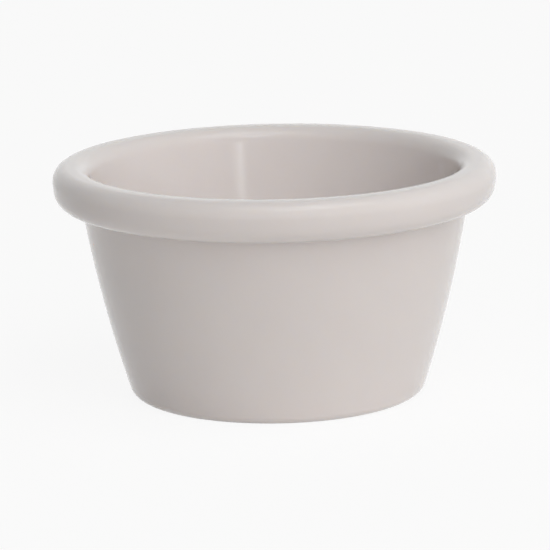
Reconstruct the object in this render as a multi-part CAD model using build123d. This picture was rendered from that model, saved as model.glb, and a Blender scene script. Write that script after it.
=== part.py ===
from build123d import *

import math
import os

# Small sauce ramekin, moulded in one shot: a round cup with a shallow foot ring, a tapering
# wall that bulges slightly, a heavy rolled rim that overhangs the wall, and a plain inside.
# Millimetres, +Z up. The origin is the centre of the foot's resting face.

# Outside of the body
height = 44.5
base_diameter = 55.6
shoulder_diameter = 73.2
wall_bulge = 0.72
base_corner_round = 2.2

# Shell: the wall's thickness is measured level, and its inner face is nearly a plain cone
wall_mouth_thickness = 2.4
wall_floor_thickness = 3.6
inner_bulge = 0.25
floor_thickness = 2.7
floor_corner_round = 7.0

# Foot
foot_ring_width = 6.0
foot_recess_depth = 0.8
foot_recess_draft = 0.5
foot_edge_round = 0.35

# Rolled rim
rim_height = 7.8
rim_overhang = 5.31
rim_face_draft = 0.75
rim_face_crown = 0.4
rim_hem_round = 3.5
rim_brow_round = 2.9
rim_lip_round = 3.3
rim_tuck_round = 0.8

# A round takes at most this share of the straight stretch that it eats into
round_room_share = 0.52

base_radius = base_diameter / 2
shoulder_radius = shoulder_diameter / 2
rim_radius = shoulder_radius + rim_overhang
rim_underside = height - rim_height
floor_top = foot_recess_depth + floor_thickness


def bowed(low, high, bulge):
    """Centre and radius of the large circle through two places, bulging away from the axis.

    It stands the bulge clear of the middle of the straight line between the places.
    """
    run, rise = high[0] - low[0], high[1] - low[1]
    chord = math.hypot(run, rise)
    radius = chord**2 / (8 * bulge) + bulge / 2
    reach = (radius - bulge) / chord
    return (low[0] + high[0]) / 2 - reach * rise, (low[1] + high[1]) / 2 + reach * run, radius


def distance_at(level, circle):
    """How far from the axis a wall's face stands at a level."""
    centre_r, centre_z, radius = circle
    return centre_r + math.sqrt(radius**2 - (level - centre_z) ** 2)


def outer_wall():
    """The circle of the wall's outer face, from the base's edge to the shoulder."""
    return bowed((base_radius, 0), (shoulder_radius, rim_underside), wall_bulge)


def inner_wall():
    """The circle of the wall's inner face, from the floor's edge to the mouth's edge."""
    floor_radius = distance_at(floor_top, outer_wall()) - wall_floor_thickness
    mouth_radius = distance_at(height, outer_wall()) - wall_mouth_thickness
    return bowed((floor_radius, floor_top), (mouth_radius, height), inner_bulge)


def wall_arc(low, high, circle):
    """The stretch of a wall's face between two levels, as an arc in the section's plane."""
    levels = (low, (low + high) / 2, high)
    return ThreePointArc(*[(distance_at(level, circle), level) for level in levels])


def limited(radius, *stretches):
    """A round's radius, kept within its share of each straight stretch beside it."""
    return min(radius, *[stretch * round_room_share for stretch in stretches])


def rounded(section, place, radius):
    """The section with its corner at a place rounded off."""
    spot = Vector(*place)
    corner = min(section.vertices(), key=lambda vertex: (Vector(vertex) - spot).length)
    return fillet(corner, radius)


def cup_section():
    """Half of the cup's cross-section, right of the axis: X is the radius and Y the height."""
    recess_radius = base_radius - foot_ring_width
    hem_radius = rim_radius - rim_face_draft
    face_middle = ((hem_radius + rim_radius) / 2 + rim_face_crown, height - rim_height / 2)
    mouth_radius = distance_at(height, inner_wall())
    floor_radius = distance_at(floor_top, inner_wall())
    rim_width = rim_radius - mouth_radius
    overhang = hem_radius - shoulder_radius

    recess_edge = (recess_radius - foot_recess_draft, foot_recess_depth)
    foot_edge = (recess_radius, 0)
    base_edge = (base_radius, 0)
    shoulder = (shoulder_radius, rim_underside)
    hem = (hem_radius, rim_underside)
    brow = (rim_radius, height)
    lip = (mouth_radius, height)
    floor_edge = (floor_radius, floor_top)
    with BuildSketch() as section:
        with BuildLine():
            Polyline((0, foot_recess_depth), recess_edge, foot_edge, base_edge)
            add(wall_arc(0, rim_underside, outer_wall()))
            Line(shoulder, hem)
            ThreePointArc(hem, face_middle, brow)
            Line(brow, lip)
            add(wall_arc(floor_top, height, inner_wall()))
            Polyline(floor_edge, (0, floor_top), (0, foot_recess_depth))
        make_face()
        rounds = (
            (recess_edge, limited(foot_edge_round, foot_recess_depth)),
            (foot_edge, limited(foot_edge_round, foot_recess_depth, foot_ring_width)),
            (base_edge, limited(base_corner_round, foot_ring_width, rim_underside)),
            (shoulder, limited(rim_tuck_round, overhang)),
            (hem, limited(rim_hem_round, rim_height)),
            (brow, limited(rim_brow_round, rim_width, rim_height)),
            (lip, limited(rim_lip_round, rim_width)),
            (floor_edge, limited(floor_corner_round, floor_radius, height - floor_top)),
        )
        for place, radius in rounds:
            rounded(section, place, radius)
    return section.sketch


def cup():
    """The whole moulding: the section turned once around the upright axis."""
    upright = Plane.XZ * cup_section()
    return revolve(upright, Axis.Z)


def main():
    """Builds the ramekin and writes its one piece."""
    os.makedirs("parts", exist_ok=True)
    body = cup()
    body.label = "cup"
    export_step(body, "parts/cup.step")


main()
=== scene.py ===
"""A glossy, compression-moulded melamine ramekin on a plain white sweep.

The cup is one surface of revolution. Its section is a chain of straight stretches and arcs,
worked out with numpy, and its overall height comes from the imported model. Lengths are in metres,
and a field whose name ends in _mm is in millimetres.
"""

from __future__ import annotations

import logging
import math
from dataclasses import dataclass
from enum import Enum

import bpy
import numpy as np
from mathutils import Matrix, Vector

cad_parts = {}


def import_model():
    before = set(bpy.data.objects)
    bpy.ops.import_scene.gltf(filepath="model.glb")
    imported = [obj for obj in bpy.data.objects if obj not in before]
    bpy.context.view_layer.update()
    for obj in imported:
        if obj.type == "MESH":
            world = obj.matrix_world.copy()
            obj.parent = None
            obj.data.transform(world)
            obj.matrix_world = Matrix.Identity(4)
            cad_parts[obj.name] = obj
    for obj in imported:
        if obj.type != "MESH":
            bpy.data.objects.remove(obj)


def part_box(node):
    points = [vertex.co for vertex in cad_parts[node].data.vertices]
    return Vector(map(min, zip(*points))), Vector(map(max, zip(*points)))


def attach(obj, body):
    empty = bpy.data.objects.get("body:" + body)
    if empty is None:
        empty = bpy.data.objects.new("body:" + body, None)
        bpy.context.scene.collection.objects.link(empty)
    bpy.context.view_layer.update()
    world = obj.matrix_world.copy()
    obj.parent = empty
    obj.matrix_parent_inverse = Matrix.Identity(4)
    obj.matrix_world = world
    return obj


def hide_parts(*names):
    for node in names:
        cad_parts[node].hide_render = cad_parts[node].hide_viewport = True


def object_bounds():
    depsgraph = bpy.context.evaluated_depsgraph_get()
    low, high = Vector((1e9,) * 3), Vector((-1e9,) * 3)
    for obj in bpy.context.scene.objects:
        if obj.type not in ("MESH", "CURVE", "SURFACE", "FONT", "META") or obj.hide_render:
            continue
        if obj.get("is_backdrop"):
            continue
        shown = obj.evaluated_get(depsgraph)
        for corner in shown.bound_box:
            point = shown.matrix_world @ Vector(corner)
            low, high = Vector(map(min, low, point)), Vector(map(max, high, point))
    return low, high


LOG = logging.getLogger("ramekin")

MM = 0.001
PHOTO_WIDTH_PX = 550
SENSOR_WIDTH_MM = 36.0
PLAIN_WHITE = "#FFFFFF"
COOL_WHITE = "#F8FFFF"
WARM_WHITE = "#FFFDFB"


class Side(Enum):
    """The side of a level or of a circle that a round lies on."""

    OVER = 1
    UNDER = -1


def linear(channel: float) -> float:
    """Turns one sRGB channel into linear light.

    Args:
        channel: the sRGB value, from 0 to 1.

    Returns:
        The linear value: the standard curve, straight near black and a power above.
    """
    return channel / 12.92 if channel <= 0.04045 else ((channel + 0.055) / 1.055) ** 2.4


def colour(code: str) -> tuple[float, float, float, float]:
    """Turns an sRGB hex code into a linear colour with full alpha.

    Args:
        code: six hex digits after a hash sign.

    Returns:
        Linear red, green, blue and an alpha of 1.
    """
    red, green, blue = (linear(int(code[i : i + 2], 16) / 255) for i in (1, 3, 5))
    return red, green, blue, 1.0


def bearing(azimuth: float, elevation: float) -> Vector:
    """The unit vector that points in a direction from the cup.

    Args:
        azimuth: degrees round the cup, 0 on the camera's side and growing to the right.
        elevation: degrees above the table.

    Returns:
        The vector.
    """
    turn, lift = math.radians(azimuth), math.radians(elevation)
    return Vector((math.sin(turn) * math.cos(lift), -math.cos(turn) * math.cos(lift), math.sin(lift)))


@dataclass(frozen=True)
class Circle:
    """A circle in the section's plane, where X is the distance from the axis and Y the height."""

    x: float
    y: float
    radius: float

    @classmethod
    def through(cls, *places: tuple[float, float]) -> Circle:
        """The circle through three places.

        Its centre is as far from the second and third place as from the first, which gives two
        linear equations: twice the step to each place, dotted with the centre, is the difference
        of the squared distances from the origin.

        Args:
            places: the three places.

        Returns:
            The circle.
        """
        first, *others = np.array(places)
        steps = np.array([2 * (other - first) for other in others])
        squares = np.array([other @ other - first @ first for other in others])
        centre = np.linalg.solve(steps, squares)
        return cls(float(centre[0]), float(centre[1]), float(np.linalg.norm(first - centre)))

    @classmethod
    def bowed(cls, low: tuple[float, float], high: tuple[float, float], bulge: float) -> Circle:
        """The large circle that joins two places and bulges away from the axis between them.

        Its radius is the chord squared over eight bulges, plus half a bulge.

        Args:
            low: the lower place.
            high: the higher place.
            bulge: how far it stands clear of the middle of the straight line between the places.

        Returns:
            The circle, with its centre far inside the cup.
        """
        run, rise = high[0] - low[0], high[1] - low[1]
        chord = math.hypot(run, rise)
        radius = chord**2 / (8 * bulge) + bulge / 2
        reach = (radius - bulge) / chord
        return cls((low[0] + high[0]) / 2 - reach * rise, (low[1] + high[1]) / 2 + reach * run, radius)

    def distance_at(self, level: float) -> float:
        """How far from the axis the circle's outer side stands at a level."""
        return self.x + math.sqrt(self.radius**2 - (level - self.y) ** 2)

    def angle_to(self, point: np.ndarray) -> float:
        """The direction from the centre to a point, in radians."""
        return math.atan2(point[1] - self.y, point[0] - self.x)

    def towards(self, other: Circle) -> np.ndarray:
        """The point where another circle, tangent to this one, touches it.

        Args:
            other: the tangent circle, whose centre lies inside or outside this one.

        Returns:
            The point of this circle that lies on the line through both centres.
        """
        run, rise = other.x - self.x, other.y - self.y
        share = self.radius / math.hypot(run, rise)
        return np.array([self.x + run * share, self.y + rise * share])

    def arc(self, start: np.ndarray, end: np.ndarray, chord: float, turn: float) -> np.ndarray:
        """Points along the shorter arc between two points of the circle.

        Each point is the centre plus the radius times the cosine and sine of its angle, and the
        angles are evenly spaced.

        Args:
            start: the arc's first point.
            end: the arc's last point.
            chord: the longest step along the arc.
            turn: the largest turn in one step, in radians.

        Returns:
            An array of points, one row each, with the start and without the end.
        """
        first = self.angle_to(start)
        sweep = (self.angle_to(end) - first + math.pi) % (2 * math.pi) - math.pi
        steps = math.ceil(max(abs(sweep) / turn, abs(sweep) * self.radius / chord))
        angles = first + sweep * np.arange(steps) / steps
        centre = np.array([self.x, self.y])
        return centre + self.radius * np.stack([np.cos(angles), np.sin(angles)], axis=1)


def straight(start: np.ndarray, end: np.ndarray, chord: float) -> np.ndarray:
    """Points along a straight stretch, evenly spaced.

    Args:
        start: the first point.
        end: the last point.
        chord: the longest step.

    Returns:
        An array of points, one row each, with the start and without the end.
    """
    steps = math.ceil(float(np.linalg.norm(end - start)) / chord)
    shares = (np.arange(steps) / steps)[:, None]
    return start + (end - start) * shares


def round_at(level: float, side: Side, big: Circle, lies: Side, radius: float) -> Circle:
    """The round that joins a level line to a big circle, tangent to both.

    Its centre lies one radius off the level, and at the big circle's radius plus or minus its own
    from that circle's centre, which gives one right-angled triangle to solve.

    Args:
        level: the height of the level line.
        side: the side of the line that the round lies on.
        big: the circle.
        lies: whether the round lies outside (over) or inside (under) the big circle.
        radius: the round's radius.

    Returns:
        The round's circle.
    """
    height = level + side.value * radius
    reach = big.radius + lies.value * radius
    return Circle(big.x + math.sqrt(reach**2 - (height - big.y) ** 2), height, radius)


@dataclass(frozen=True)
class CupSection:
    """Half of the cup's section, from the middle of its underside round to the middle of its floor."""

    height: float
    base_radius: float = 27.8 * MM
    shoulder_radius: float = 36.6 * MM
    wall_bulge: float = 0.72 * MM
    base_corner_round: float = 2.2 * MM
    wall_mouth_thickness: float = 2.4 * MM
    wall_floor_thickness: float = 3.6 * MM
    inner_bulge: float = 0.25 * MM
    floor_thickness: float = 2.7 * MM
    floor_corner_round: float = 7.0 * MM
    foot_ring_width: float = 6.0 * MM
    foot_recess_depth: float = 0.8 * MM
    foot_recess_draft: float = 0.5 * MM
    foot_edge_round: float = 0.35 * MM
    rim_height: float = 7.8 * MM
    rim_overhang: float = 5.31 * MM
    rim_face_draft: float = 0.75 * MM
    rim_face_crown: float = 0.4 * MM
    rim_hem_round: float = 3.5 * MM
    rim_brow_round: float = 2.9 * MM
    rim_lip_round: float = 3.3 * MM
    rim_tuck_round: float = 0.8 * MM
    longest_step: float = 1.1 * MM
    largest_turn: float = math.radians(6.0)

    def outer_wall(self) -> Circle:
        """The circle of the wall's outer face, from the base's edge to the shoulder."""
        base = (self.base_radius, 0.0)
        shoulder = (self.shoulder_radius, self.height - self.rim_height)
        return Circle.bowed(base, shoulder, self.wall_bulge)

    def inner_wall(self) -> Circle:
        """The circle of the wall's inner face, from the floor's edge to the mouth's edge."""
        outer, floor = self.outer_wall(), self.foot_recess_depth + self.floor_thickness
        foot = (outer.distance_at(floor) - self.wall_floor_thickness, floor)
        mouth = (outer.distance_at(self.height) - self.wall_mouth_thickness, self.height)
        return Circle.bowed(foot, mouth, self.inner_bulge)

    def rim_face(self) -> Circle:
        """The circle of the rim's outer face, through its hem, its crowned middle and its brow."""
        brow = self.shoulder_radius + self.rim_overhang
        hem = brow - self.rim_face_draft
        middle = (hem + brow) / 2 + self.rim_face_crown
        low, high = self.height - self.rim_height, self.height
        return Circle.through((hem, low), (middle, (low + high) / 2), (brow, high))

    def points(self) -> np.ndarray:
        """The section's points, in order, both ends on the axis.

        Returns:
            An array with one row each: the distance from the axis and the height.
        """
        under = self.height - self.rim_height
        floor = self.foot_recess_depth + self.floor_thickness
        outer, inner, face = self.outer_wall(), self.inner_wall(), self.rim_face()
        base = round_at(0.0, Side.OVER, outer, Side.UNDER, self.base_corner_round)
        tuck = round_at(under, Side.UNDER, outer, Side.OVER, self.rim_tuck_round)
        hem = round_at(under, Side.OVER, face, Side.UNDER, self.rim_hem_round)
        brow = round_at(self.height, Side.UNDER, face, Side.UNDER, self.rim_brow_round)
        lip = round_at(self.height, Side.UNDER, inner, Side.OVER, self.rim_lip_round)
        well = round_at(floor, Side.OVER, inner, Side.UNDER, self.floor_corner_round)

        slope = math.atan2(self.foot_recess_depth, self.foot_recess_draft)
        setback = self.foot_edge_round * math.tan(slope / 2)
        ring_inner = self.base_radius - self.foot_ring_width
        recess_edge = ring_inner - self.foot_recess_draft
        along = np.array([math.cos(slope), -math.sin(slope)])
        up, down = self.foot_recess_depth, 0.0
        recess = Circle(recess_edge - setback, up - self.foot_edge_round, self.foot_edge_round)
        toe = Circle(ring_inner + setback, self.foot_edge_round, self.foot_edge_round)
        draft_top = np.array([recess_edge, up]) + along * setback
        draft_foot = np.array([ring_inner, down]) - along * setback

        def on(circle: Circle, level: float) -> np.ndarray:
            """The point where a round meets the level line that it starts from."""
            return np.array([circle.x, level])

        step, turn = self.longest_step, self.largest_turn
        stretches = [
            straight(np.array([0.0, up]), on(recess, up), step),
            recess.arc(on(recess, up), draft_top, step, turn),
            straight(draft_top, draft_foot, step),
            toe.arc(draft_foot, on(toe, down), step, turn),
            straight(on(toe, down), on(base, down), step),
            base.arc(on(base, down), outer.towards(base), step, turn),
            outer.arc(outer.towards(base), outer.towards(tuck), step, turn),
            tuck.arc(outer.towards(tuck), on(tuck, under), step, turn),
            straight(on(tuck, under), on(hem, under), step),
            hem.arc(on(hem, under), face.towards(hem), step, turn),
            face.arc(face.towards(hem), face.towards(brow), step, turn),
            brow.arc(face.towards(brow), on(brow, self.height), step, turn),
            straight(on(brow, self.height), on(lip, self.height), step),
            lip.arc(on(lip, self.height), inner.towards(lip), step, turn),
            inner.arc(inner.towards(lip), inner.towards(well), step, turn),
            well.arc(inner.towards(well), on(well, floor), step, turn),
            straight(on(well, floor), np.array([0.0, floor]), step),
        ]
        return np.concatenate([*stretches, [[0.0, floor]]])


def revolved(name: str, section: np.ndarray, sides: int) -> bpy.types.Object:
    """A closed surface of revolution about the upright axis.

    A point at distance r and height z becomes a ring of points (r cos a, r sin a, z), for evenly
    spaced angles a. The section's two ends lie on the axis, and each is one vertex that closes
    its ring with a fan.

    Args:
        name: the object's name.
        section: rows of distance and height, both ends on the axis.
        sides: how many points each ring has.

    Returns:
        The new object, with its place in its mesh and its faces outward.
    """
    angles = 2 * math.pi * np.arange(sides) / sides
    radii, heights = section[1:-1, 0], section[1:-1, 1]
    rings = np.stack(
        [
            radii[:, None] * np.cos(angles),
            radii[:, None] * np.sin(angles),
            np.repeat(heights[:, None], sides, axis=1),
        ],
        axis=2,
    ).reshape(-1, 3)
    poles = np.array([[0.0, 0.0, section[0, 1]], [0.0, 0.0, section[-1, 1]]])
    place = np.arange(len(rings)).reshape(len(radii), sides)
    beside = np.roll(place, -1, axis=1)
    quads = np.stack([place[:-1], beside[:-1], beside[1:], place[1:]], axis=2).reshape(-1, 4)
    first, last = len(rings), len(rings) + 1
    fan_low = np.stack([np.full(sides, first), beside[0], place[0]], axis=1)
    fan_high = np.stack([np.full(sides, last), place[-1], beside[-1]], axis=1)
    mesh = bpy.data.meshes.new(name)
    faces = quads.tolist() + fan_low.tolist() + fan_high.tolist()
    mesh.from_pydata(np.concatenate([rings, poles]).tolist(), [], faces)
    mesh.shade_smooth()
    mesh.validate()
    piece = bpy.data.objects.new(name, mesh)
    bpy.context.scene.collection.objects.link(piece)
    return piece


def add_node(
    tree: bpy.types.NodeTree, kind: str, settings: dict[str, object], links: dict[str, object]
) -> bpy.types.Node:
    """Adds one node, with its settings and the links into it.

    Args:
        tree: the node tree.
        kind: the node's type name.
        settings: an attribute's name, or an input's after "in:", to its value.
        links: an input's name to the output socket that feeds it.

    Returns:
        The new node.
    """
    node = tree.nodes.new(kind)
    for name, value in settings.items():
        if name.startswith("in:"):
            node.inputs[name[3:]].default_value = value
        else:
            setattr(node, name, value)
    for name, socket in links.items():
        tree.links.new(socket, node.inputs[name])
    return node


@dataclass(frozen=True)
class MouldedMelamine:
    """Compression-moulded melamine: hard, faintly translucent resin under its own glossy skin.

    To the eye it is an even bone white with soft shade, because light spreads a millimetre or so
    inside it. Its reflections are crisp and waver a little, as a hand-polished mould leaves them.
    Pulp in the resin shows as faint clouds and sparse specks, and the foot is rubbed dull.
    """

    body: str = "#ECE5E3"
    ior: float = 1.4
    spread_mm: float = 1.0
    spread_weight: float = 1.0
    spread_of_channels: tuple[float, float, float] = (1.0, 0.95, 0.85)
    cloud_mm: float = 7.0
    cloud_depth: float = 0.012
    speck_spacing_mm: float = 3.0
    speck_mm: float = 0.3
    speck_depth: float = 0.07
    gloss: tuple[float, float] = (0.06, 0.09)
    gloss_patch_mm: float = 14.0
    foot_roughness: float = 0.45
    foot_rub_mm: tuple[float, float] = (0.1, 0.5)
    waver_mm: float = 11.0
    waver_depth_mm: float = 0.008
    peel_mm: float = 0.9
    peel_depth_mm: float = 0.0006
    noise_detail: float = 1.5

    def material(self) -> bpy.types.Material:
        """The finished material.

        Returns:
            A material whose patterns are in Object coordinates.
        """
        made = bpy.data.materials.new("moulded_melamine")
        made.use_nodes = True
        tree = made.node_tree
        shader = tree.nodes["Principled BSDF"]
        place = add_node(tree, "ShaderNodeTexCoord", {}, {}).outputs["Object"]
        shader.inputs["IOR"].default_value = self.ior
        shader.inputs["Subsurface Weight"].default_value = self.spread_weight
        shader.inputs["Subsurface Scale"].default_value = self.spread_mm * MM
        shader.inputs["Subsurface Radius"].default_value = self.spread_of_channels
        tree.links.new(self.pulp(tree, place), shader.inputs["Base Color"])
        tree.links.new(self.dulling(tree, place), shader.inputs["Roughness"])
        tree.links.new(self.relief(tree, place), shader.inputs["Normal"])
        return made

    def noise(
        self, tree: bpy.types.NodeTree, place: bpy.types.NodeSocket, size_mm: float
    ) -> bpy.types.NodeSocket:
        """Soft noise from 0 to 1 whose lumps are as wide as a real size."""
        lumps = {"in:Scale": 1 / (size_mm * MM), "in:Detail": self.noise_detail}
        return add_node(tree, "ShaderNodeTexNoise", lumps, {"Vector": place}).outputs["Fac"]

    def pulp(self, tree: bpy.types.NodeTree, place: bpy.types.NodeSocket) -> bpy.types.NodeSocket:
        """The body colour with its faint clouds and sparse darker specks of pulp.

        Real specks are about 0.1 mm wide. They are drawn coarser, so that they show. A speck is
        the core of a Voronoi cell in space, so the surface cuts few of them, at all widths.
        """
        depth = self.cloud_depth
        span = {"in:To Min": 1 - depth, "in:To Max": 1 + depth}
        patches = self.noise(tree, place, self.cloud_mm)
        clouds = add_node(tree, "ShaderNodeMapRange", span, {"Value": patches}).outputs["Result"]
        cells = {"in:Scale": 1 / (self.speck_spacing_mm * MM)}
        cell = add_node(tree, "ShaderNodeTexVoronoi", cells, {"Vector": place})
        edge = self.speck_mm / self.speck_spacing_mm / 2
        core = {"in:From Max": edge, "in:To Min": self.speck_depth, "in:To Max": 0.0}
        specks = add_node(tree, "ShaderNodeMapRange", core, {"Value": cell.outputs["Distance"]})
        level = add_node(tree, "ShaderNodeMath", {"operation": "SUBTRACT"}, {})
        tree.links.new(clouds, level.inputs[0])
        tree.links.new(specks.outputs["Result"], level.inputs[1])
        tint = {"in:Color": colour(self.body)}
        tinted = add_node(tree, "ShaderNodeHueSaturation", tint, {"Value": level.outputs[0]})
        return tinted.outputs["Color"]

    def dulling(self, tree: bpy.types.NodeTree, place: bpy.types.NodeSocket) -> bpy.types.NodeSocket:
        """The roughness: glossy with slow changes, and dull where the foot rubs on the table."""
        low, high = self.gloss
        span = {"in:To Min": low, "in:To Max": high}
        patches = self.noise(tree, place, self.gloss_patch_mm)
        skin = add_node(tree, "ShaderNodeMapRange", span, {"Value": patches})
        up = add_node(tree, "ShaderNodeSeparateXYZ", {}, {"Vector": place}).outputs["Z"]
        start, end = (level * MM for level in self.foot_rub_mm)
        rub = {"in:From Min": start, "in:From Max": end, "in:To Min": 1.0, "in:To Max": 0.0}
        rubbed = add_node(tree, "ShaderNodeMapRange", rub, {"Value": up})
        links = {"Factor": rubbed.outputs["Result"], "A": skin.outputs["Result"]}
        return add_node(tree, "ShaderNodeMix", {"in:B": self.foot_roughness}, links).outputs["Result"]

    def relief(self, tree: bpy.types.NodeTree, place: bpy.types.NodeSocket) -> bpy.types.NodeSocket:
        """The skin's shallow relief: a slow waver of the mould, and a fine peel over it."""
        normal = None
        layers = ((self.waver_mm, self.waver_depth_mm), (self.peel_mm, self.peel_depth_mm))
        for size_mm, depth_mm in layers:
            links = {"Height": self.noise(tree, place, size_mm)}
            if normal:
                links["Normal"] = normal
            bump = add_node(tree, "ShaderNodeBump", {"in:Distance": depth_mm * MM}, links)
            normal = bump.outputs["Normal"]
        return normal


@dataclass(frozen=True)
class WhiteSweep:
    """The white ground that the cup stands on, and the white surroundings behind it."""

    radius: float = 3.0
    sides: int = 96
    card: str = "#F1F0EF"
    card_roughness: float = 0.9
    glow: float = 0.9
    ambient: float = 0.12

    def build(self) -> None:
        """Makes the floor and the world."""
        self.build_floor()
        self.build_world()

    def build_floor(self) -> None:
        """A round sheet of card on the table's level."""
        angles = 2 * math.pi * np.arange(self.sides) / self.sides
        edge = self.radius * np.stack([np.cos(angles), np.sin(angles), np.zeros(self.sides)], axis=1)
        mesh = bpy.data.meshes.new("floor")
        mesh.from_pydata(edge.tolist(), [], [list(range(self.sides))])
        floor = bpy.data.objects.new("floor", mesh)
        bpy.context.scene.collection.objects.link(floor)
        floor.data.materials.append(self.floor_material())
        floor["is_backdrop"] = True

    def build_world(self) -> None:
        """Surroundings that are white where they are seen and dim where they light the cup."""
        world = bpy.data.worlds.new("white_surroundings")
        bpy.context.scene.world = world
        world.use_nodes = True
        tree = world.node_tree
        tree.nodes.clear()
        levels = {"in:To Min": self.ambient, "in:To Max": 1.0}
        level = add_node(tree, "ShaderNodeMapRange", levels, {"Value": self.seen(tree)})
        white = {"in:Color": colour(PLAIN_WHITE)}
        back = add_node(tree, "ShaderNodeBackground", white, {"Strength": level.outputs["Result"]})
        add_node(tree, "ShaderNodeOutputWorld", {}, {"Surface": back.outputs["Background"]})

    def seen(self, tree: bpy.types.NodeTree) -> bpy.types.NodeSocket:
        """A value that is 1 for rays that see the surroundings and 0 for rays that gather light."""
        path = add_node(tree, "ShaderNodeLightPath", {}, {})
        total = path.outputs["Is Camera Ray"]
        for kind in ("Is Glossy Ray", "Is Transmission Ray"):
            add = add_node(tree, "ShaderNodeMath", {"operation": "ADD", "use_clamp": True}, {})
            tree.links.new(total, add.inputs[0])
            tree.links.new(path.outputs[kind], add.inputs[1])
            total = add.outputs[0]
        return total

    def floor_material(self) -> bpy.types.Material:
        """Matt white card that is mostly washed out to white where it is seen.

        The rest of what is seen is the card's own lit surface, which keeps the cup's shadow.
        """
        made = bpy.data.materials.new("white_card")
        made.use_nodes = True
        tree = made.node_tree
        card = tree.nodes["Principled BSDF"]
        card.inputs["Base Color"].default_value = colour(self.card)
        card.inputs["Roughness"].default_value = self.card_roughness
        card.inputs["Specular IOR Level"].default_value = 0.0
        wash = add_node(tree, "ShaderNodeEmission", {"in:Color": colour(PLAIN_WHITE)}, {})
        share = {"in:To Min": 0.0, "in:To Max": self.glow}
        factor = add_node(tree, "ShaderNodeMapRange", share, {"Value": self.seen(tree)})
        blend = add_node(tree, "ShaderNodeMixShader", {}, {"Fac": factor.outputs["Result"]})
        tree.links.new(card.outputs["BSDF"], blend.inputs[1])
        tree.links.new(wash.outputs["Emission"], blend.inputs[2])
        tree.links.new(blend.outputs["Shader"], tree.nodes["Material Output"].inputs["Surface"])
        return made


@dataclass(frozen=True)
class SoftBox:
    """A soft rectangular lamp, placed by its bearing from the cup.

    Its azimuth is 0 on the camera's side and grows to the right, and its elevation is above the
    table, both in degrees. Its level is the brightness of its face, where 1 is white, and its tint
    is an sRGB hex code. A lamp that isn't mirrored only lights the cup: its face doesn't show in
    the gloss.
    """

    name: str
    width: float
    tall: float
    azimuth: float
    elevation: float
    level: float
    tint: str
    mirrored: bool = True
    distance: float = 1.5

    def build(self, aim: Vector) -> None:
        """Adds the lamp, turned towards the aim.

        Its power is its level times pi and its area.

        Args:
            aim: the point that it faces.
        """
        lamp = bpy.data.lights.new(self.name, "AREA")
        lamp.shape = "RECTANGLE"
        lamp.size, lamp.size_y = self.width, self.tall
        lamp.energy = self.level * math.pi * self.width * self.tall
        lamp.color = colour(self.tint)[:3]
        piece = bpy.data.objects.new(self.name, lamp)
        piece.visible_camera = False
        piece.visible_glossy = self.mirrored
        bpy.context.scene.collection.objects.link(piece)
        away = bearing(self.azimuth, self.elevation)
        piece.location = aim + away * self.distance
        piece.rotation_mode = "QUATERNION"
        piece.rotation_quaternion = (-away).to_track_quat("-Z", "Y")


@dataclass(frozen=True)
class ProductCamera:
    """The long lens that the photograph was taken with, slightly above the table."""

    distance: float = 0.700
    focal_px: float = 3671.75
    elevation: float = 12.516
    roll: float = -1.085
    aim_aside_mm: float = -0.22

    def build(self, centre: Vector) -> None:
        """Adds the camera and makes it the scene's.

        Args:
            centre: the middle of the cup's box.
        """
        data = bpy.data.cameras.new("camera")
        data.sensor_width = SENSOR_WIDTH_MM
        data.lens = self.focal_px / PHOTO_WIDTH_PX * SENSOR_WIDTH_MM
        camera = bpy.data.objects.new("camera", data)
        bpy.context.scene.collection.objects.link(camera)
        camera.location = centre + bearing(0, self.elevation) * self.distance
        aim = centre + Vector((self.aim_aside_mm * MM, 0, 0))
        level = (aim - camera.location).to_track_quat("-Z", "Y").to_matrix()
        turned = level @ Matrix.Rotation(math.radians(self.roll), 3, "Z")
        camera.rotation_mode = "QUATERNION"
        camera.rotation_quaternion = turned.to_quaternion()
        bpy.context.scene.camera = camera


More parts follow.
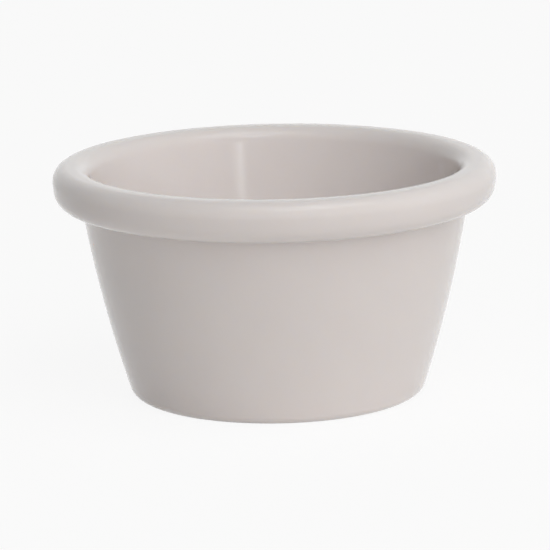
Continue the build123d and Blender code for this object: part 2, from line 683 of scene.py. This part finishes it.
@dataclass(frozen=True)
class Cup:
    """The whole moulding."""

    sides: int = 384

    def build(self) -> bpy.types.Object:
        """Makes the cup's surface, dresses it and puts it in place of the plain solid.

        Returns:
            The cup's object.
        """
        _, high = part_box("cup")
        section = CupSection(height=high.z)
        piece = revolved("ramekin_cup", section.points(), self.sides)
        piece.data.materials.append(MouldedMelamine().material())
        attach(piece, "root")
        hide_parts("cup")
        LOG.info("cup: %d faces", len(piece.data.polygons))
        return piece


def wall_of_light(name: str, azimuth: float, level: float) -> SoftBox:
    """A large lamp beside the cup, which lights it evenly and stays out of its gloss."""
    return SoftBox(name, 1.00, 1.20, azimuth, 26, level, WARM_WHITE, mirrored=False)


def softboxes() -> list[SoftBox]:
    """The lamps: walls of light round the cup, and smaller ones that show in its gloss.

    The rim's crest and lip mirror the overhead ones, and the lowest of these, a thin one, is their
    bright line. The inside of the back wall mirrors the upright strip as a streak, and the wider,
    dimmer one in the same place as the streak's soft edges.

    Returns:
        The lamps. The smaller ones are given as name, width, height, azimuth, elevation, level
        and tint.
    """
    return [
        wall_of_light("front", azimuth=20, level=1.63),
        wall_of_light("front_right", azimuth=60, level=0.74),
        wall_of_light("right", azimuth=100, level=0.78),
        wall_of_light("front_left", azimuth=340, level=0.38),
        wall_of_light("back", azimuth=185, level=1.05),
        SoftBox("high_left", 0.50, 0.60, 335, 70, 1.10, COOL_WHITE),
        SoftBox("high_front", 0.50, 0.50, 20, 76, 0.80, COOL_WHITE),
        SoftBox("high_right", 0.50, 0.80, 60, 66, 1.68, COOL_WHITE),
        SoftBox("low_front", 0.64, 0.29, 20, 57, 2.40, COOL_WHITE),
        SoftBox("thin_line", 0.36, 0.05, 18, 50, 7.50, COOL_WHITE),
        SoftBox("strip", 0.075, 0.14, 22.8, 15.6, 3.30, COOL_WHITE),
        SoftBox("strip_glow", 0.25, 0.14, 22.8, 15.6, 1.30, COOL_WHITE),
    ]


def main() -> None:
    """Builds the scene, one piece after another."""
    logging.basicConfig(level=logging.INFO, format="%(name)s: %(message)s")
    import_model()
    cad_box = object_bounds()
    Cup().build()
    centre = (cad_box[0] + cad_box[1]) / 2
    WhiteSweep().build()
    for box in softboxes():
        box.build(centre)
    ProductCamera().build(centre)
    bpy.context.scene.view_settings.view_transform = "Standard"


if __name__ == "__main__":
    main()
